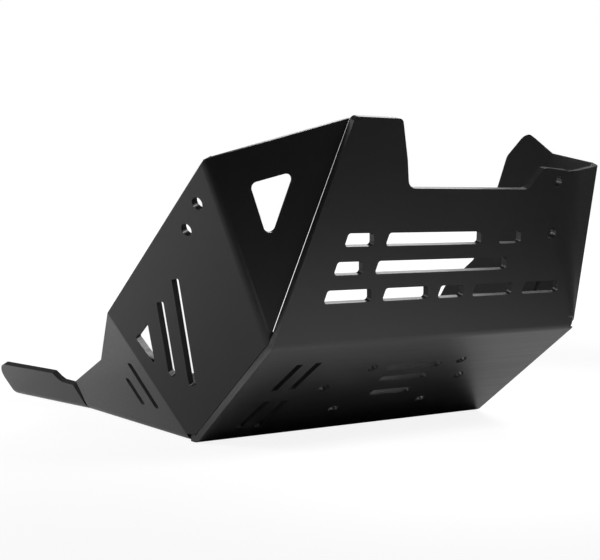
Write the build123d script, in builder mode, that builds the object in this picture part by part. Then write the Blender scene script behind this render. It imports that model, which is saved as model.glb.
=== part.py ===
from build123d import *
from math import atan2, cos, degrees, radians, sin, tan
import os

# Motorcycle skid plate: one aluminium sheet, cut and folded under the engine.
# Millimetres. X runs to the right wing, Y to the rear, Z up. The plate is drawn from
# the middle of the bend between flat bottom and ramp, on the underside, and is moved at
# the end so that the origin is the middle of the flat bottom's underside.

# Sheet and bends
sheet = 5.0
bend_inside = 3.0
bend_outside = bend_inside + sheet
seam_gap = 0.4
relief_width = 1.5
relief_start = 8.5

# Middle strip: flat bottom, ramp and front panel
half_width = 130.9
ramp_angle = 37.6
ramp_length = 122.8
front_angle = 74.9
front_height = 151.2
ramp_spread = 7.0
side_length = 179.9
rear_length = 294.7
rear_spread = 17.1

# Wings: their top corners as (outward, back, up) from the ends of the two middle bends
side_flare = 27.3
left_corner_rise = (-46.2, 5.6, 119.0)
right_corner_rise = (73.5, 45.5, 123.2)
right_side_rise = (107.8, 23.1, 209.3)
soft_bend_spread = 7.6
soft_bend_steps = 7
soft_bend_margin = 4.0

# Outlines, as (along, up) on each panel, with a corner radius where there is a third value.
# The front panel's are measured inward from the nearer end of its bend
front_top_left = ((36.3, front_height, 4), (73.9, front_height, 4), (83.3, 124.6, 0), (88.4, 105.8, 7))
front_top_right = ((73.9, 105.8, 9), (62.8, 121.0, 3))
front_fold_top = (33.6, 118.9)
gusset_drop = 2.0
left_fold_height = 90.5
left_side_top = ((99.8, 56.7), (175.8, 27.6))
right_side_outline = (
    (64.8, 258.5, 9), (78.6, 234.0, 8), (75.4, 205.8, 20), (69.0, 131.0, 6), (92.5, 104.5, 6),
    (99.8, 56.7, 0), (175.8, 27.6, 0),
)
lip_top = ((6.7, 22.6), (22.6, 23.5), (26.9, 26.0), (32.0, 31.0))
lip_height = 31.0
lip_tip = 127.0
lip_corner = 12.0

# Cut-outs. On the front panel places across are shares of its width at that height, and
# the ramp's upright slots are given by their distance from its left edge
hole_diameter = 8.5
front_slot_height = 9.0
front_slot_rise = 19.1
front_slot_first = 33.2
front_slot_lean = 0.21
slot_corner = 2.2
front_slots = (
    (0, 0.1091, 0.255), (0, 0.2976, 0.4463), (0, 0.4869, 0.572),
    (0, 0.611, 0.7542), (0, 0.7979, 0.9363),
    (1, 0.1128, 0.2035), (1, 0.2495, 0.7241),
    (2, 0.1191, 0.2137), (2, 0.2625, 0.6137), (2, 0.6902, 0.7753),
)
front_holes = ((0.942, 111.4), (0.9058, 74.0))
ramp_slots = ((-15.0, 35.3, 84.2), (-11.6, 32.1, 68.9), (-8.4, 28.3, 49.0))
ramp_slot_height = 7.2
ramp_edge_slots = (
    ((29.9, 66.7), (33.9, 99.7)), ((44.5, 66.4), (48.8, 100.3)),
    ((26.3, 16.7), (31.9, 51.3)), ((42.3, 15.0), (47.2, 50.8)),
)
ramp_edge_slot_width = 5.0
ramp_holes = ((-58.0, 63.5), (-30.9, 30.3), (-29.0, 86.6), (52.2, 87.0), (65.1, 64.3), (49.2, 31.3))
corner_slots = (
    ((26.9, 78.3), (21.0, 74.8), (82.0, 21.8), (88.6, 24.8)),
    ((54.0, 78.3), (48.0, 74.8), (91.0, 37.7), (95.6, 38.8), (94.5, 43.2)),
    ((96.2, 76.8), (75.0, 76.2), (100.3, 53.8)),
)
corner_slot_corner = 1.2
corner_holes = ((-39.9, 91.7), (-16.3, 88.3))
side_slots = (((39.0, 22.5), (50.4, 59.5)), ((60.9, 22.5), (68.0, 44.5)))
side_slot_width = 7.0
gusset_window = ((59.9, 20.5), (109.9, 21.0), (93.0, 45.7))
gusset_corner = 4.0
cut_clear = 7.0

# Derived sizes
cut_reach = sheet + cut_clear
stock = 6 * half_width
bend_point = Vector(0, -ramp_length * cos(radians(ramp_angle)), ramp_length * sin(radians(ramp_angle)))
ramp_normal = Vector(0, -sin(radians(ramp_angle)), -cos(radians(ramp_angle)))
front_normal = Vector(0, -sin(radians(front_angle)), -cos(radians(front_angle)))
side_setback = bend_outside * tan(radians(90 - side_flare) / 2)
inside_point = Vector(0, side_length / 4, front_height / 2)


def panel_face(start, end, upper):
    """Outer face of a panel: x from start to end, y towards the upper point."""
    along = (end - start).normalized()
    return Plane(origin=start, x_dir=along, z_dir=along.cross(upper - start).normalized())


def outward(face):
    """The same face with its normal turned away from the inside of the plate."""
    if (inside_point - face.origin).dot(face.z_dir) > 0:
        return Plane(origin=face.origin, x_dir=face.x_dir, z_dir=-face.z_dir)
    return face


def folded_shell(faces):
    """A sheet of even thickness behind the given outer faces, with every fold rounded."""
    with BuildPart() as core:
        Box(stock, stock, stock)
        for face in faces:
            split(bisect_by=outward(face).offset(-bend_outside), keep=Keep.BOTTOM)
    with BuildPart() as inner:
        add(core.part)
        offset(amount=bend_inside)
    with BuildPart() as shell:
        add(core.part)
        offset(amount=bend_outside)
        add(inner.part, mode=Mode.SUBTRACT)
    return shell.part


def inner_edge(point, first, second):
    """Moves a point on a bend line to the inside of the sheet, through both panels."""
    turn = first.get_angle(second)
    middle = (first + second).normalized()
    return point - middle * (sheet / cos(radians(turn / 2)))


def fold_at(first, second, height):
    """The point on the fold between two panels at a height above the underside."""
    fold = first.intersect(second)
    return fold.position + fold.direction * ((height - fold.position.Z) / fold.direction.Z)


def flat(face, *points):
    """Points in space, as (along, up) on a panel."""
    return [(spot.X, spot.Y) for spot in (face.to_local_coords(point) for point in points)]


def across(share, height):
    """The place on the front panel at a share of its width at that height, from the left edge."""
    left = front_lean * height - half_width
    right = right_d.X + fold_lean * height
    return left + (right - left) * share


# Outer faces of the middle strip
down = Vector(0, 0, -1)
bottom_face = Plane(origin=(0, 0, 0), x_dir=(1, 0, 0), z_dir=down)
ramp_face = Plane(origin=(0, 0, 0), x_dir=(1, 0, 0), z_dir=ramp_normal)
front_face = Plane(origin=bend_point, x_dir=(1, 0, 0), z_dir=front_normal)
bottom_inside = Plane(origin=(0, 0, sheet + seam_gap), x_dir=(1, 0, 0), z_dir=(0, 0, 1))
ramp_inside = Plane(origin=ramp_face.origin - ramp_normal * (sheet + seam_gap), z_dir=-ramp_normal)
front_inside = Plane(origin=front_face.origin - front_normal * (sheet + seam_gap), z_dir=-front_normal)

# Corners of the strip, on its outer and inner skin
left_c = Vector(-half_width, 0, 0)
left_d = Vector(-half_width, 0, 0) + bend_point
right_c = Vector(half_width, 0, 0)
right_d = Vector(half_width + ramp_spread, 0, 0) + bend_point
left_c_in = inner_edge(left_c, down, ramp_normal)
left_d_in = inner_edge(left_d, ramp_normal, front_normal)
front_lean = front_top_left[0][0] / front_height
fold_lean = -front_fold_top[0] / front_fold_top[1]
front_top = [(left_d.X + inward, up, radius) for inward, up, radius in front_top_left]
front_top += [(right_d.X - inward, up, radius) for inward, up, radius in front_top_right]
fold_top = (right_d.X - front_fold_top[0], front_fold_top[1])
left_t_in = front_face.from_local_coords(
    (front_top[0][0] - gusset_drop * front_lean, front_height - gusset_drop, -sheet)
)
right_t = front_face.from_local_coords((*fold_top, 0))
left_corner_top = left_d + Vector(*left_corner_rise)
right_corner_top = right_d + Vector(*right_corner_rise)
right_side_top = right_c + Vector(*right_side_rise)

# Outer faces of the left wing, which is folded up from the bottom
left_up = Vector(-sin(radians(side_flare)), 0, cos(radians(side_flare)))
left_side = Plane(origin=left_c, x_dir=(0, 1, 0), z_dir=Vector(0, 1, 0).cross(left_up))
left_corner = panel_face(left_d_in, left_c_in, left_corner_top)
left_gusset = panel_face(left_d_in, left_t_in, left_corner_top)

# Outer faces of the right wing, which is folded back from the front panel
right_up = Vector(sin(radians(side_flare)), 0, cos(radians(side_flare)))
right_side = Plane(origin=right_c, x_dir=(0, 1, 0), z_dir=Vector(0, 1, 0).cross(right_up))
right_corner = panel_face(right_d, right_c, right_side_top)
right_gusset = panel_face(right_d, right_t, right_corner_top)

# Soft bend between front panel and right gusset: steps around a cone with its tip at the bend
gusset_normal = outward(right_gusset).z_dir
fold_line = (right_t - right_d).normalized()
bend_side = (front_normal - gusset_normal).normalized()
soft_start = fold_line.rotate(Axis((0, 0, 0), front_normal), soft_bend_spread)
if soft_start.X > fold_line.X:
    soft_start = fold_line.rotate(Axis((0, 0, 0), front_normal), -soft_bend_spread)
cone_half = atan2(soft_start.dot(bend_side), front_normal.dot(bend_side))
cone_axis = soft_start * cos(cone_half) - front_normal * sin(cone_half)
flat_front = (front_normal - cone_axis * front_normal.dot(cone_axis)).normalized()
flat_gusset = (gusset_normal - cone_axis * gusset_normal.dot(cone_axis)).normalized()
soft_turn = degrees(atan2(flat_front.cross(flat_gusset).dot(cone_axis), flat_front.dot(flat_gusset)))
soft_faces = [
    Plane(
        origin=right_d,
        z_dir=front_normal.rotate(Axis((0, 0, 0), cone_axis), soft_turn * step / (soft_bend_steps + 1)),
    )
    for step in range(1, soft_bend_steps + 1)
]
soft_lean = soft_start.X / soft_start.dot(front_face.y_dir)

# Shells that hold each folded sheet before its outline is cut
left_shell = folded_shell([bottom_face, left_side, left_corner, left_gusset])
right_shell = folded_shell([front_face, *soft_faces, right_gusset, right_corner, right_side])
lip_faces = []
lip_shells = []
for hand in (-1, 1):
    lip_start = Vector(hand * half_width, side_length, 0)
    lip_along = (Vector(hand * (half_width + rear_spread), rear_length, 0) - lip_start).normalized()
    lip_out = Vector(hand * lip_along.Y, -hand * lip_along.X, 0)
    lip_up = lip_out * sin(radians(side_flare)) + Vector(0, 0, 1) * cos(radians(side_flare))
    lip_faces.append(Plane(origin=lip_start, x_dir=lip_along, z_dir=lip_along.cross(lip_up)))
    lip_shells.append(folded_shell([bottom_face, lip_faces[-1]]))
rear_run = Vector(rear_spread, rear_length - side_length).length


# Corners where the folds and bends end
left_fold_foot = fold_at(left_corner, left_side, 0)
left_fold_top = fold_at(left_corner, left_side, left_fold_height)
right_fold_foot = fold_at(right_corner, right_side, 0)
right_fold_top = fold_at(right_corner, right_side, right_side_top.Z)
right_gusset_foot = fold_at(right_gusset, right_corner, right_d.Z)
right_gusset_end = fold_at(right_gusset, right_corner, right_corner_top.Z)
soft_foot = (right_d.X - soft_bend_margin, 0)
soft_top = (soft_foot[0] + soft_lean * front_top[-1][1], front_top[-1][1])
relief_end = relief_start + relief_width
side_end = side_length - relief_width / 2
lip_start_y = side_length + relief_width / 2
bend_line = half_width - side_setback
relief_x = bend_line - relief_width / 2
lip_slope = rear_spread / (rear_length - side_length)
lip_bend_x = half_width + (relief_width / 2) * lip_slope - side_setback * rear_run / (rear_length - side_length)
rear_end = rear_length + cut_reach
rear_reach = rear_end - lip_start_y
plan_sides = (
    (-1, half_width, ((half_width, relief_start), (relief_x, relief_start), (relief_x, relief_end),
                      (bend_line, relief_end), (bend_line, side_end))),
    (1, half_width + ramp_spread, ((half_width, side_end),)),
)

# Middle strip, a bent profile drawn out to the widest point
with BuildPart() as strip:
    with BuildSketch(Plane.YZ):
        with BuildLine():
            front_end = front_face.from_local_coords((0, front_height + cut_reach, 0))
            FilletPolyline(
                (rear_length, 0), (0, 0), (bend_point.Y, bend_point.Z), (front_end.Y, front_end.Z),
                radius=bend_outside,
            )
            offset(amount=sheet, side=Side.RIGHT)
        make_face()
    extrude(amount=half_width + rear_spread, both=True)
    # plan outline beside the ramp and the bottom, with reliefs where the side bends start
    with BuildSketch():
        for hand, front_x, bend_start in plan_sides:
            with BuildLine():
                Polyline(
                    *[(hand * x, y) for x, y in (
                        (stock, -stock), (front_x, -stock), (front_x, bend_point.Y), (half_width, 0),
                        *bend_start, (relief_x, side_end), (relief_x, lip_start_y),
                        (lip_bend_x, lip_start_y), (lip_bend_x + rear_reach * lip_slope, rear_end),
                        (stock, rear_end),
                    )],
                    close=True,
                )
            make_face()
    extrude(amount=stock, both=True, mode=Mode.SUBTRACT)
    # front panel outline: left edge, stepped top and the line where the soft bend starts
    with BuildSketch(front_face):
        with BuildLine():
            Polyline(
                (-stock, 0), (-half_width, 0), *[spot[:2] for spot in front_top], soft_top,
                soft_foot, (stock, 0), (stock, stock), (-stock, stock), close=True,
            )
        make_face()
        for along, up, radius in front_top:
            if radius:
                fillet(vertices().sort_by_distance((along, up))[0], radius)
    extrude(amount=cut_reach, both=True, mode=Mode.SUBTRACT)

# Left wing: gusset, corner and side panel, bent up from the bottom
with BuildPart() as left_wing:
    with BuildSketch(left_gusset):
        with BuildLine():
            Polyline(*flat(left_gusset, left_d_in, left_t_in, left_corner_top), close=True)
        make_face()
    with BuildSketch(left_corner):
        with BuildLine():
            Polyline(
                *flat(left_corner, left_corner_top, left_d_in, left_fold_foot, left_fold_top), close=True
            )
        make_face()
    with BuildSketch(left_side):
        with BuildLine():
            Polyline(
                *flat(left_side, left_fold_foot, left_fold_top), *left_side_top, (side_end, 0), close=True
            )
        make_face()
    extrude(amount=cut_reach, both=True)
    with BuildSketch():
        with Locations((-half_width, relief_end)):
            Rectangle(side_setback, side_end - relief_end, align=Align.MIN)
    extrude(amount=cut_reach)
    add(left_shell, mode=Mode.INTERSECT)
    split(bisect_by=ramp_inside, keep=Keep.TOP)
    split(bisect_by=front_inside, keep=Keep.TOP)
    with BuildSketch():
        with Locations((-bend_line, relief_end)):
            Rectangle(stock, stock, align=Align.MAX)
    extrude(amount=sheet + seam_gap, mode=Mode.SUBTRACT)

# Right wing: soft bend, gusset, corner and side panel, bent back from the front panel
with BuildPart() as right_wing:
    with BuildSketch(front_face):
        with BuildLine():
            Polyline(soft_foot, soft_top, fold_top, (right_d.X, 0), close=True)
        make_face()
    with BuildSketch(right_gusset):
        with BuildLine():
            Polyline(*flat(right_gusset, right_d, right_t, right_gusset_end, right_gusset_foot), close=True)
        make_face()
    with BuildSketch(right_corner):
        with BuildLine():
            Polyline(
                *flat(right_corner, right_gusset_end, right_gusset_foot, right_fold_foot, right_fold_top),
                close=True,
            )
        make_face()
    with BuildSketch(right_side):
        with BuildLine():
            Polyline(
                *flat(right_side, right_fold_foot, right_fold_top),
                *[spot[:2] for spot in right_side_outline], (side_length, 0), close=True,
            )
        make_face()
        for along, up, radius in right_side_outline:
            if radius:
                fillet(vertices().sort_by_distance((along, up))[0], radius)
    extrude(amount=cut_reach, both=True)
    add(right_shell, mode=Mode.INTERSECT)
    split(bisect_by=ramp_inside, keep=Keep.TOP)
    split(bisect_by=bottom_inside, keep=Keep.TOP)

# Rear side lips, bent up from the outward turned edges of the bottom
lips = []
for hand, lip_face, lip_shell in zip((-1, 1), lip_faces, lip_shells):
    with BuildPart() as lip:
        with BuildSketch(lip_face):
            with BuildLine():
                Polyline((relief_width / 2, 0), *lip_top, (lip_tip, lip_height), (rear_run, 0), close=True)
            make_face()
            fillet(vertices().sort_by_distance((lip_tip, lip_height))[0], lip_corner)
        extrude(amount=cut_reach, both=True)
        with BuildSketch():
            with BuildLine():
                Polyline(
                    *[(hand * x, y) for x, y in (
                        (half_width + lip_slope * relief_width / 2, lip_start_y),
                        (half_width + rear_spread, rear_length),
                        (lip_bend_x + lip_slope * (rear_length - lip_start_y), rear_length),
                        (lip_bend_x, lip_start_y),
                    )],
                    close=True,
                )
            make_face()
        extrude(amount=cut_reach)
        add(lip_shell, mode=Mode.INTERSECT)
    lips.append(lip.part)

# Plate: strip, wings and rear side lips joined along their bends, then the cut-outs
with BuildPart() as plate:
    add(strip.part)
    add(left_wing.part)
    add(right_wing.part)
    add(lips)
    # front panel: rows of leaning slots
    with BuildSketch(front_face):
        for row, start, end in front_slots:
            middle = front_slot_first + row * front_slot_rise
            left, right = across(start, middle), across(end, middle)
            low, high = middle - front_slot_height / 2, middle + front_slot_height / 2
            lean = front_slot_lean * front_slot_height / 2
            with BuildLine():
                Polyline(
                    (left - lean, low), (left + lean, high), (right - lean, high), (right + lean, low),
                    close=True,
                )
            make_face()
        fillet(vertices(), slot_corner)
    # ramp: three level slots and two pairs of upright slots along the left edge
    with BuildSketch(ramp_face):
        for left, right, middle in ramp_slots:
            with Locations(((left + right) / 2, middle)):
                RectangleRounded(right - left, ramp_slot_height, slot_corner)
        for (low_in, low_y), (high_in, high_y) in ramp_edge_slots:
            low_x, high_x = low_in - half_width, high_in - half_width
            half = ramp_edge_slot_width / 2
            with BuildLine():
                Polyline(
                    (low_x - half, low_y), (low_x + half, low_y), (high_x + half, high_y),
                    (high_x - half, high_y), close=True,
                )
            make_face()
    # corner panels: slanted slots, on both wings
    for face in (left_corner, right_corner):
        with BuildSketch(face):
            for slot in corner_slots:
                with BuildLine():
                    Polyline(*slot, close=True)
                make_face()
            fillet(vertices(), corner_slot_corner)
    # side panels: slots along the fold, on both wings
    for face in (left_side, right_side):
        with BuildSketch(face):
            for (low_x, low_y), (high_x, high_y) in side_slots:
                half = side_slot_width / 2
                with BuildLine():
                    Polyline(
                        (low_x - half, low_y), (low_x + half, low_y), (high_x + half, high_y),
                        (high_x - half, high_y), close=True,
                    )
                make_face()
            fillet(vertices(), slot_corner)
    # left gusset: one three-cornered window
    with BuildSketch(left_gusset):
        with BuildLine():
            Polyline(*gusset_window, close=True)
        make_face()
        fillet(vertices(), gusset_corner)
    # bolt holes
    front_spots = [(across(share, height), height) for share, height in front_holes]
    for face, spots in (
        (front_face, front_spots), (ramp_face, ramp_holes), (left_corner, corner_holes)
    ):
        with BuildSketch(face):
            with Locations(*spots):
                Circle(hole_diameter / 2)
    extrude(amount=cut_reach, both=True, mode=Mode.SUBTRACT)


# The finished plate, moved to its origin
with BuildPart() as skid_plate:
    with Locations((0, -rear_length / 2, 0)):
        add(plate.part)

skid_plate.part.label = "skid_plate"
os.makedirs("parts", exist_ok=True)
export_step(skid_plate.part, "parts/skid_plate.step")
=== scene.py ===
"""Looks of the motorcycle skid plate: one folded sheet in satin black, on a pale studio floor."""

import logging
import math
from dataclasses import dataclass, field
from enum import Enum

import bmesh
import bpy
from mathutils import Matrix, Vector
from mathutils.bvhtree import BVHTree


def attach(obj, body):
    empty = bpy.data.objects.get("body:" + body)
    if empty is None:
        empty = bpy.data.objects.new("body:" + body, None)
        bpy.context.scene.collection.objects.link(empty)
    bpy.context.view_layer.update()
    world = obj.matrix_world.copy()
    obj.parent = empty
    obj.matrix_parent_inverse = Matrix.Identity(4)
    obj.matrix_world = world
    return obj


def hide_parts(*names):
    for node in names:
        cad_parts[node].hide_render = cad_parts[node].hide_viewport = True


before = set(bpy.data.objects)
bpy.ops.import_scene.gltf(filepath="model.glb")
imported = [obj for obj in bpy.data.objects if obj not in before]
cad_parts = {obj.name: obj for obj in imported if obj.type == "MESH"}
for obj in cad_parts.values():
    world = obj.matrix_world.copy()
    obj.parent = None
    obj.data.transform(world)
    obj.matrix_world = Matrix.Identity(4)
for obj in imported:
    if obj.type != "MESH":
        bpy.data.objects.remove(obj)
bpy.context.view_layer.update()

logging.basicConfig(level=logging.INFO, format="%(message)s")
log = logging.getLogger("skid_plate")

Colour = tuple[float, float, float, float]
Point = tuple[float, float, float]

WHITE: Colour = (1, 1, 1, 1)
SHEET_THICKNESS = 0.005  # metres
FOLD_FOOT: Point = (0.1379, -0.24464, 0.07493)  # lower end of the right fold line on the outer skin
APART = math.pi  # angle in radians that is given where two faces or normals have none


def vector_field(point: Point) -> Vector:
    """Gives a class field a vector of its own.

    Args:
        point: The three parts of the vector.

    Returns:
        The dataclass field.
    """
    return field(default_factory=lambda: Vector(point))


def place_piece(name: str, form: bmesh.types.BMesh, *finishes: bpy.types.Material) -> bpy.types.Object:
    """Turns a shaped mesh into an object of the scene.

    Args:
        name: Name of the object and of its mesh.
        form: The shaped mesh, which is used up.
        finishes: Its materials, in the order of the faces' material index.

    Returns:
        The object.
    """
    mesh = bpy.data.meshes.new(name)
    form.to_mesh(mesh)
    form.free()
    for finish in finishes:
        mesh.materials.append(finish)
    piece = bpy.data.objects.new(name, mesh)
    bpy.context.scene.collection.objects.link(piece)
    return piece


class Skin(Enum):
    """Which part of the folded sheet a face belongs to."""

    PANEL = 0
    CUT_EDGE = 1


@dataclass
class Graph:
    """A short way to add and join the nodes of one material or group.

    Attributes:
        tree: The node tree that is being filled.
    """

    tree: bpy.types.NodeTree

    @classmethod
    def blank(cls, owner: bpy.types.Material | bpy.types.World) -> "Graph":
        """Empties the nodes of a material or a world.

        Args:
            owner: The material or world.

        Returns:
            Its empty graph.
        """
        owner.use_nodes = True
        owner.node_tree.nodes.clear()
        return cls(owner.node_tree)

    def add(self, kind: str, **values: object) -> bpy.types.Node:
        """Adds a node.

        Args:
            kind: The node's type name, without the ShaderNode prefix that most of them have.
            values: Properties of the node, by name.

        Returns:
            The new node.
        """
        node = self.tree.nodes.new(kind if kind.startswith("NodeGroup") else "ShaderNode" + kind)
        for name, value in values.items():
            setattr(node, name, value)
        return node

    def join(self, source: bpy.types.NodeSocket, target: bpy.types.NodeSocket) -> None:
        """Links one socket to another.

        Args:
            source: The output that gives the value.
            target: The input that takes it.
        """
        self.tree.links.new(source, target)


@dataclass(frozen=True)
class SheetGrain:
    """Shader group of the fine texture that a coated, rolled sheet shows.

    Attributes:
        name: Name of the node group.
        grain_scale: Grains to the metre, where a material gives none.
        cloud_scale: Clouds to the metre, where a material gives none.
        streak_scales: Streaks to the metre along x, y and z, so that they run from side to side.
        grain_detail: Layers of finer noise in the grain.
        cloud_detail: Layers of finer noise in the clouds.
        streak_detail: Layers of finer noise in the streaks.
    """

    name: str = "sheet_grain"
    grain_scale: float = 900.0
    cloud_scale: float = 9.0
    streak_scales: Point = (14.0, 420.0, 420.0)
    grain_detail: float = 3.0
    cloud_detail: float = 4.0
    streak_detail: float = 2.0

    def group(self) -> bpy.types.NodeTree:
        """Makes the group once, and gives it back after that.

        Returns:
            A group with the inputs Grain Scale, Cloud Scale and the outputs Grain, Cloud, Streak.
        """
        if self.name in bpy.data.node_groups:
            return bpy.data.node_groups[self.name]
        tree = bpy.data.node_groups.new(self.name, "ShaderNodeTree")
        for label, default in (("Grain Scale", self.grain_scale), ("Cloud Scale", self.cloud_scale)):
            socket = tree.interface.new_socket(name=label, in_out="INPUT", socket_type="NodeSocketFloat")
            socket.default_value = default
        for label in ("Grain", "Cloud", "Streak"):
            tree.interface.new_socket(name=label, in_out="OUTPUT", socket_type="NodeSocketFloat")
        graph = Graph(tree)
        inlet, outlet = graph.add("NodeGroupInput"), graph.add("NodeGroupOutput")
        place = graph.add("TexCoord")
        grain = graph.add("TexNoise")
        grain.inputs["Detail"].default_value = self.grain_detail
        cloud = graph.add("TexNoise")
        cloud.inputs["Detail"].default_value = self.cloud_detail
        stretch = graph.add("Mapping")
        stretch.inputs["Scale"].default_value = self.streak_scales
        streak = graph.add("TexNoise")
        streak.inputs["Scale"].default_value = 1.0
        streak.inputs["Detail"].default_value = self.streak_detail
        for target in (grain, cloud, stretch):
            graph.join(place.outputs["Object"], target.inputs["Vector"])
        graph.join(stretch.outputs["Vector"], streak.inputs["Vector"])
        graph.join(inlet.outputs["Grain Scale"], grain.inputs["Scale"])
        graph.join(inlet.outputs["Cloud Scale"], cloud.inputs["Scale"])
        for label, texture in (("Grain", grain), ("Cloud", cloud), ("Streak", streak)):
            graph.join(texture.outputs["Fac"], outlet.inputs[label])
        return tree


@dataclass(frozen=True)
class BlackAnodising:
    """Satin black finish of the sheet.

    Attributes:
        name: Name of the material.
        dark: Darkest tone of the coat.
        pale: Palest tone of the coat.
        smooth: Lowest roughness.
        rough: Highest roughness.
        bump: Height of the grain in metres.
        grain_scale: Grains to the metre.
        bump_strength: Share of that height that is shaded.
        streak_low: Streak value that gives the lowest roughness.
        streak_high: Streak value that gives the highest roughness.
        specular: Level of the coat's reflection, 0.5 for a plain varnish.
    """

    name: str
    dark: Colour
    pale: Colour
    smooth: float
    rough: float
    bump: float
    grain_scale: float
    bump_strength: float = 0.25
    streak_low: float = 0.3
    streak_high: float = 0.7
    specular: float = 0.5

    def material(self) -> bpy.types.Material:
        """Builds the material.

        Returns:
            The finished material.
        """
        made = bpy.data.materials.new(self.name)
        graph = Graph.blank(made)
        out, shader = graph.add("OutputMaterial"), graph.add("BsdfPrincipled")
        shader.inputs["Specular IOR Level"].default_value = self.specular
        graph.join(shader.outputs["BSDF"], out.inputs["Surface"])
        grain = graph.add("Group")
        grain.node_tree = SheetGrain().group()
        grain.inputs["Grain Scale"].default_value = self.grain_scale
        tone = graph.add("Mix", data_type="RGBA")
        tone.inputs["A"].default_value = self.dark
        tone.inputs["B"].default_value = self.pale
        graph.join(grain.outputs["Cloud"], tone.inputs["Factor"])
        graph.join(tone.outputs["Result"], shader.inputs["Base Color"])
        gloss = graph.add("MapRange")
        gloss.inputs["From Min"].default_value = self.streak_low
        gloss.inputs["From Max"].default_value = self.streak_high
        gloss.inputs["To Min"].default_value = self.smooth
        gloss.inputs["To Max"].default_value = self.rough
        graph.join(grain.outputs["Streak"], gloss.inputs["Value"])
        graph.join(gloss.outputs["Result"], shader.inputs["Roughness"])
        bump = graph.add("Bump")
        bump.inputs["Strength"].default_value = self.bump_strength
        bump.inputs["Distance"].default_value = self.bump
        graph.join(grain.outputs["Grain"], bump.inputs["Height"])
        graph.join(bump.outputs["Normal"], shader.inputs["Normal"])
        return made


@dataclass(frozen=True)
class Fold:
    """Directions of a fold between two panels.

    Attributes:
        along: Direction up the fold line.
        across: Direction from the front panel's side to the wing's side.
        inward: Direction from the fold line into the plate.
        half: Half of the angle that the sheet turns through, in radians.
    """

    along: Vector
    across: Vector
    inward: Vector
    half: float


@dataclass(frozen=True)
class SoftBend:
    """The wide bend between the front panel and the right wing, a cone with its tip at the foot.

    Attributes:
        foot: Lower end of the fold line on the outer skin.
        top: Upper end of the fold line on the outer skin.
        front_side: Any other point of the front panel's outer skin.
        wing_side: Any other point of the wing's outer skin.
        sheet: Thickness of the sheet in metres.
        outer_slack: Distance outside the sheet in which a corner still counts as its own, in metres.
        inner_slack: The same distance inside the sheet, where the bend lies deeper than the panels.
        snap: Distance under which a cut takes a corner that is there, in metres.
        solid_spread: Angle from the fold line to the bend's start in the solid, in degrees.
        spread: The wider angle that the photograph shows, in degrees.
        steps: Strips on each side of the fold line.
    """

    foot: Vector = vector_field(FOLD_FOOT)
    top: Vector = vector_field((0.1043, -0.27562, 0.18972))
    front_side: Vector = vector_field((0.0, -0.24464, 0.07493))
    wing_side: Vector = vector_field((0.2114, -0.19915, 0.1981))
    sheet: float = SHEET_THICKNESS
    outer_slack: float = 0.0005
    inner_slack: float = 0.004
    snap: float = 1e-6
    solid_spread: float = 7.6
    spread: float = 15.5
    steps: int = 12

    def fold(self) -> Fold:
        """Finds the fold's directions and angle from the four points.

        Returns:
            The fold.
        """
        along = (self.top - self.foot).normalized()
        sides = []
        for point in (self.front_side, self.wing_side):
            side = point - self.foot
            sides.append((side - along * side.dot(along)).normalized())
        across = (sides[1] - sides[0]).normalized()
        inward = (sides[1] + sides[0]).normalized()
        return Fold(along, across, inward, math.asin(sides[1].dot(inward)))

    def in_sheet(self, point: Vector, fold: Fold) -> bool:
        """Tells whether a point lies in the sheet, on either side of the fold.

        Args:
            point: The point.
            fold: The fold.

        Returns:
            True in either panel or in the bend between them.
        """
        place = point - self.foot
        gap = place.dot(fold.inward) - abs(place.dot(fold.across)) * math.tan(fold.half)
        return -self.outer_slack < gap * math.cos(fold.half) < self.sheet + self.inner_slack

    def depth(self, across: float, along: float, spread: float, half: float) -> float:
        """How far the outer skin lies behind the sharp fold.

        Args:
            across: Distance from the middle plane of the fold.
            along: Distance from the foot.
            spread: Angle of the bend's start in degrees.
            half: Half of the angle that the sheet turns through, in radians.

        Returns:
            The depth in metres.
        """
        radius = max(along, 0.0) * math.tan(math.radians(spread)) / math.tan(half)
        if abs(across) >= radius * math.sin(half):
            return abs(across) * math.tan(half)
        return radius / math.cos(half) - math.sqrt(radius * radius - across * across)

    def shape(self, form: bmesh.types.BMesh) -> None:
        """Cuts the two panels into strips and lays them round the wider bend.

        Args:
            form: The plate's mesh.
        """
        fold = self.fold()
        for step in range(-self.steps, self.steps + 1):
            faces = [face for face in form.faces if all(self.in_sheet(vert.co, fold) for vert in face.verts)]
            edges = {edge for face in faces for edge in face.edges}
            verts = {vert for face in faces for vert in face.verts}
            reach = math.tan(math.radians(self.spread)) * math.cos(fold.half) * step / self.steps
            ray = fold.along + fold.across * reach
            bmesh.ops.bisect_plane(
                form, geom=[*verts, *edges, *faces], dist=self.snap, plane_co=self.foot,
                plane_no=ray.cross(fold.inward).normalized(),
            )
        for vert in form.verts:
            place = vert.co - self.foot
            across, along = place.dot(fold.across), place.dot(fold.along)
            if along <= 0 or not self.in_sheet(vert.co, fold):
                continue
            wide = self.depth(across, along, self.spread, fold.half)
            tight = self.depth(across, along, self.solid_spread, fold.half)
            vert.co += fold.inward * (wide - tight)


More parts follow.
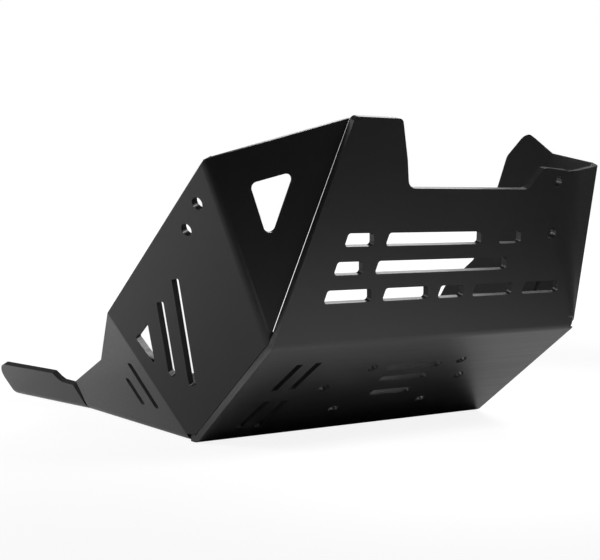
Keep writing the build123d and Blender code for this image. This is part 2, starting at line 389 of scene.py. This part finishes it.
@dataclass
class FoldedPlate:
    """The folded sheet, dressed from the CAD solid with broken edges.

    Attributes:
        node: The CAD node that it stands for.
        slot: The record's material slot; not used.
        sheet: Thickness of the sheet in metres.
        evenness: Share of the thickness by which a panel may differ from it.
        skin_step: Depth under a face from which the thickness is measured, in metres.
        weld: Distance under which loose corners are merged, in metres.
        flatness: Angle in radians under which two faces count as one plane.
        dissolve_angle: Angle in degrees up to which such faces are joined into one.
        panel_area: Area in square metres above which a plane is a panel and not a part of a bend.
        edge_break: Width of the broken edge along every cut, in metres.
        edge_angle: Angle in degrees from which an edge is broken.
        edge_steps: Facets across a broken edge.
        normal_weight: Pull of a large face on the shading of its corners, 50 in proportion to area.
        tip: Point where the left wing's blunt tip ends.
        tip_axis: Direction in which that tip points.
        tip_reach: Distance from the tip up to which it is dressed, in metres.
        panel: Finish of the panels.
        cut_edge: Finish of the cut edges.
    """

    node: str = "skid_plate"
    slot: str = "plate"
    sheet: float = SHEET_THICKNESS
    evenness: float = 0.08
    skin_step: float = 1e-5
    weld: float = 2e-5
    flatness: float = 0.0008
    dissolve_angle: float = 0.2
    panel_area: float = 0.0012
    edge_break: float = 0.0005
    edge_angle: float = 35.0
    edge_steps: int = 2
    normal_weight: int = 50
    tip: Vector = vector_field((-0.1755, -0.2360, 0.1935))
    tip_axis: Vector = vector_field((-0.35, 0.55, 0.76))
    tip_reach: float = 0.006
    panel: BlackAnodising = BlackAnodising(
        "satin_black_panel", dark=(0.014, 0.0135, 0.0142, 1), pale=(0.022, 0.0213, 0.0223, 1),
        smooth=0.28, rough=0.35, bump=3e-5, grain_scale=900.0,
    )
    cut_edge: BlackAnodising = BlackAnodising(
        "satin_black_cut_edge", dark=(0.016, 0.0156, 0.0162, 1), pale=(0.026, 0.0254, 0.0262, 1),
        smooth=0.28, rough=0.38, bump=6e-5, grain_scale=500.0,
    )

    def build(self) -> bpy.types.Object:
        """Makes the dressed plate, which stands for the plain one.

        Returns:
            The dressed plate.
        """
        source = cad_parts[self.node]
        form = bmesh.new()
        form.from_mesh(source.data)
        bmesh.ops.remove_doubles(form, verts=form.verts, dist=self.weld)
        SoftBend().shape(form)
        self.blunt_tip(form)
        form.normal_update()
        bmesh.ops.dissolve_limit(
            form, angle_limit=math.radians(self.dissolve_angle), use_dissolve_boundaries=False,
            verts=form.verts,
            edges=[edge for edge in form.edges if edge.calc_face_angle(APART) < self.flatness],
        )
        self.sort_faces(form)
        plate = place_piece("dressed_plate", form, self.panel.material(), self.cut_edge.material())
        self.shade(plate)
        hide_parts(self.node)
        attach(plate, "root")
        log.info("dressed plate: %d faces", len(plate.data.polygons))
        return plate

    def blunt_tip(self, form: bmesh.types.BMesh) -> None:
        """Presses the sharp inner corner of the left wing's upper tip back, as a dressed tip is.

        Args:
            form: The plate's mesh.
        """
        axis = self.tip_axis.normalized()
        for vert in form.verts:
            place = vert.co - self.tip
            if place.length < self.tip_reach:
                vert.co -= axis * max(place.dot(axis), 0.0)

    def sort_faces(self, form: bmesh.types.BMesh) -> None:
        """Tells panels from cut edges by the sheet's thickness behind each face.

        Small planes, which are the facets of bends and hole walls, are shaded smooth.

        Args:
            form: The plate's mesh, whose faces get their material index.
        """
        form.normal_update()
        walls = BVHTree.FromBMesh(form)
        widest = self.widest_spots(form)
        for face in form.faces:
            hit = walls.ray_cast(widest[face] - face.normal * self.skin_step, -face.normal)
            even = hit[3] is not None and abs(hit[3] - self.sheet) < self.sheet * self.evenness
            face.material_index = (Skin.PANEL if even else Skin.CUT_EDGE).value
        waiting = set(form.faces)
        while waiting:
            patch = self.flat_patch(waiting.pop(), waiting)
            rounded = sum(face.calc_area() for face in patch) < self.panel_area
            for face in patch:
                face.smooth = rounded

    def widest_spots(self, form: bmesh.types.BMesh) -> dict[bmesh.types.BMFace, Vector]:
        """Finds a spot well inside each face, also where its outline is hollow or has holes.

        Args:
            form: The plate's mesh.

        Returns:
            The middle of each face's largest triangle.
        """
        areas: dict[bmesh.types.BMFace, float] = {}
        spots: dict[bmesh.types.BMFace, Vector] = {}
        for triangle in form.calc_loop_triangles():
            face = triangle[0].face
            first, second, third = (loop.vert.co for loop in triangle)
            area = (second - first).cross(third - first).length / 2
            if area > areas.get(face, -1.0):
                areas[face] = area
                spots[face] = (first + second + third) / 3
        return spots

    def flat_patch(
        self, start: bmesh.types.BMFace, waiting: set[bmesh.types.BMFace]
    ) -> list[bmesh.types.BMFace]:
        """Gathers the faces that lie in one plane with a first face.

        Args:
            start: The first face.
            waiting: Faces that are in no patch yet, from which the patch is taken.

        Returns:
            The faces of the patch.
        """
        patch, front = [start], [start]
        while front:
            for edge in front.pop().edges:
                for face in edge.link_faces:
                    if face in waiting and face.normal.angle(start.normal, APART) < self.flatness:
                        waiting.discard(face)
                        patch.append(face)
                        front.append(face)
        return patch

    def shade(self, plate: bpy.types.Object) -> None:
        """Breaks the cut edges and keeps flat panels flat.

        Args:
            plate: The dressed plate.
        """
        rim = plate.modifiers.new("edge_break", "BEVEL")
        rim.width = self.edge_break
        rim.segments = self.edge_steps
        rim.limit_method = "ANGLE"
        rim.angle_limit = math.radians(self.edge_angle)
        rim.use_clamp_overlap = True
        flats = plate.modifiers.new("flat_panels", "WEIGHTED_NORMAL")
        flats.mode = "FACE_AREA"
        flats.weight = self.normal_weight
        flats.keep_sharp = True


@dataclass
class CornerWeb:
    """The small rounded corner that the front panel keeps beside the wing's foot.

    Attributes:
        finish: Finish of the panel.
        slot: The record's material slot; not used.
        outline: Corners as metres to the right and metres up from the floor.
        plane_point: A point of the front panel's outer skin.
        outward: Normal of the front panel's outer skin.
        sunk: Depth under the outer skin in metres.
        thickness: Thickness in metres.
    """

    finish: bpy.types.Material
    slot: str = "plate"
    outline: tuple[tuple[float, float], ...] = (
        (0.1290, 0.0840), (0.1346, 0.0845), (0.1361, 0.0818), (0.1368, 0.0788), (0.1367, 0.0768),
        (0.1361, 0.0755), (0.1350, 0.0748), (0.1335, 0.0747), (0.1290, 0.0750),
    )
    plane_point: Vector = vector_field(FOLD_FOOT)
    outward: Vector = vector_field((0.0, -0.9653, -0.2610))
    sunk: float = 0.0010
    thickness: float = 0.0034

    def build(self) -> bpy.types.Object:
        """Makes the corner.

        Returns:
            The finished piece.
        """
        form = bmesh.new()
        verts = []
        for right, up in self.outline:
            forward = self.plane_point.y + (up - self.plane_point.z) * -self.outward.z / self.outward.y
            verts.append(form.verts.new(Vector((right, forward, up)) - self.outward * self.sunk))
        face = form.faces.new(verts)
        grown = bmesh.ops.extrude_face_region(form, geom=[face], use_keep_orig=True)
        moved = [item for item in grown["geom"] if isinstance(item, bmesh.types.BMVert)]
        bmesh.ops.translate(form, verts=moved, vec=-self.outward * self.thickness)
        bmesh.ops.recalc_face_normals(form, faces=form.faces)
        web = place_piece("corner_web", form, self.finish)
        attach(web, "root")
        log.info("corner web: %d faces", len(web.data.polygons))
        return web


@dataclass(frozen=True)
class Softbox:
    """One soft square lamp.

    Attributes:
        name: Name of the lamp.
        at: Its place in metres.
        towards: The point it faces.
        size: Its side in metres.
        power: Its power in watts.
        spread: Angle of its beam in degrees.
    """

    name: str
    at: Point
    towards: Point
    size: float
    power: float
    spread: float

    def hang(self) -> None:
        """Adds the lamp to the scene."""
        light = bpy.data.lights.new(self.name, "AREA")
        light.shape = "SQUARE"
        light.size = self.size
        light.energy = self.power
        light.spread = math.radians(self.spread)
        lamp = bpy.data.objects.new(self.name, light)
        lamp.location = self.at
        lamp.rotation_mode = "QUATERNION"
        lamp.rotation_quaternion = (Vector(self.towards) - Vector(self.at)).to_track_quat("-Z", "Y")
        bpy.context.scene.collection.objects.link(lamp)


@dataclass
class Studio:
    """Pale floor, soft lamps and the camera of the photograph.

    Attributes:
        camera_at: Place of the camera in metres.
        right: Direction of the picture's right side.
        down: Direction of the picture's lower side.
        lens: Focal length in millimetres.
        sensor: Width of the sensor in millimetres.
        clip_near: Nearest distance that the camera sees, in metres.
        clip_far: Farthest distance that the camera sees, in metres.
        floor_size: Side of the floor in metres.
        floor_drop: Gap between the plate's underside and the floor, in metres.
        floor_tone: Share of the light that the floor gives back.
        floor_near: Distance from the middle up to which the floor shows its own shade.
        floor_far: Distance from which it is plain white to the camera.
        floor_lift: Share of white that the camera sees on the near floor.
        floor_glow: Strength of that white.
        room_light: Strength of the light that comes from all round.
        softboxes: The lamps.
    """

    camera_at: Vector = vector_field((-0.5665, -0.92265, 0.1663))
    right: Vector = vector_field((0.8293, -0.5590, 0.0))
    down: Vector = vector_field((-0.0327, -0.0486, -0.9983))
    lens: float = 76.68
    sensor: float = 36.0
    clip_near: float = 0.01
    clip_far: float = 100.0
    floor_size: float = 24.0
    floor_drop: float = 0.0005
    floor_tone: float = 0.86
    floor_near: float = 0.35
    floor_far: float = 1.1
    floor_lift: float = 0.8
    floor_glow: float = 1.1
    room_light: float = 0.03
    softboxes: tuple[Softbox, ...] = (
        Softbox(
            "left_softbox", at=(-1.1, 0.4, 0.5), towards=(-0.4, 0.4, 0),
            size=0.6, power=5.6, spread=90,
        ),
        Softbox(
            "front_softbox", at=(-0.04, -0.4, 0.36), towards=(-0.02, -0.3, 0),
            size=0.15, power=0.15, spread=75,
        ),
        Softbox(
            "right_softbox", at=(0.5, -0.1, 0.45), towards=(0.2, -0.15, 0),
            size=0.25, power=0.28, spread=60,
        ),
        Softbox(
            "high_softbox", at=(0.47, -0.67, 0.78), towards=(-0.1, -0.12, 0.1),
            size=0.35, power=0.45, spread=60,
        ),
        Softbox(
            "back_softbox", at=(0.75, 0.85, 0.75), towards=(0, 0, 0.15),
            size=0.6, power=3.5, spread=180,
        ),
    )

    def camera(self) -> None:
        """Sets the camera at the photograph's place."""
        lens = bpy.data.cameras.new("photo_camera")
        lens.lens = self.lens
        lens.sensor_width = self.sensor
        lens.clip_start = self.clip_near
        lens.clip_end = self.clip_far
        camera = bpy.data.objects.new("photo_camera", lens)
        right = self.right.normalized()
        up = -(self.down - right * self.down.dot(right)).normalized()
        back = right.cross(up)
        turn = Matrix((right, up, back)).transposed().to_4x4()
        camera.matrix_world = Matrix.Translation(self.camera_at) @ turn
        bpy.context.scene.collection.objects.link(camera)
        bpy.context.scene.camera = camera

    def floor_material(self) -> bpy.types.Material:
        """Builds the floor's finish, nearly white to the camera and a matt pale grey to all else.

        Returns:
            The finished material.
        """
        made = bpy.data.materials.new("studio_floor")
        graph = Graph.blank(made)
        out, matt, glow = graph.add("OutputMaterial"), graph.add("BsdfDiffuse"), graph.add("Emission")
        matt.inputs["Color"].default_value = (self.floor_tone, self.floor_tone, self.floor_tone, 1)
        glow.inputs["Color"].default_value = WHITE
        glow.inputs["Strength"].default_value = self.floor_glow
        rays, blend = graph.add("LightPath"), graph.add("MixShader")
        place, distance = graph.add("TexCoord"), graph.add("VectorMath", operation="LENGTH")
        fade = graph.add("MapRange", interpolation_type="SMOOTHSTEP")
        fade.inputs["From Min"].default_value = self.floor_near
        fade.inputs["From Max"].default_value = self.floor_far
        fade.inputs["To Min"].default_value = self.floor_lift
        seen = graph.add("Math", operation="MULTIPLY")
        graph.join(place.outputs["Object"], distance.inputs[0])
        graph.join(distance.outputs["Value"], fade.inputs["Value"])
        graph.join(fade.outputs["Result"], seen.inputs[0])
        graph.join(rays.outputs["Is Camera Ray"], seen.inputs[1])
        graph.join(seen.outputs[0], blend.inputs["Fac"])
        graph.join(matt.outputs[0], blend.inputs[1])
        graph.join(glow.outputs[0], blend.inputs[2])
        graph.join(blend.outputs[0], out.inputs["Surface"])
        return made

    def floor(self) -> None:
        """Lays the pale floor, which looks white to the camera and keeps the plate's shadow."""
        form = bmesh.new()
        bmesh.ops.create_grid(form, x_segments=1, y_segments=1, size=self.floor_size / 2)
        floor = place_piece("studio_floor", form, self.floor_material())
        floor.location.z = -self.floor_drop

    def world(self) -> None:
        """Gives the room its dim grey light, white where the camera looks."""
        room = bpy.data.worlds.new("studio_room")
        bpy.context.scene.world = room
        graph = Graph.blank(room)
        out, seen, lit = graph.add("OutputWorld"), graph.add("Background"), graph.add("Background")
        seen.inputs["Color"].default_value = WHITE
        lit.inputs["Color"].default_value = WHITE
        lit.inputs["Strength"].default_value = self.room_light
        rays, pick = graph.add("LightPath"), graph.add("MixShader")
        graph.join(rays.outputs["Is Camera Ray"], pick.inputs["Fac"])
        graph.join(lit.outputs[0], pick.inputs[1])
        graph.join(seen.outputs[0], pick.inputs[2])
        graph.join(pick.outputs[0], out.inputs["Surface"])

    def build(self) -> None:
        """Sets up camera, floor, room and lamps."""
        self.camera()
        self.floor()
        self.world()
        for softbox in self.softboxes:
            softbox.hang()
        bpy.context.scene.view_settings.view_transform = "Standard"


def main() -> None:
    """Builds the studio and the plate."""
    Studio().build()
    plate = FoldedPlate().build()
    CornerWeb(plate.data.materials[Skin.PANEL.value]).build()
    log.info("boxes written")


if __name__ == "__main__":
    main()
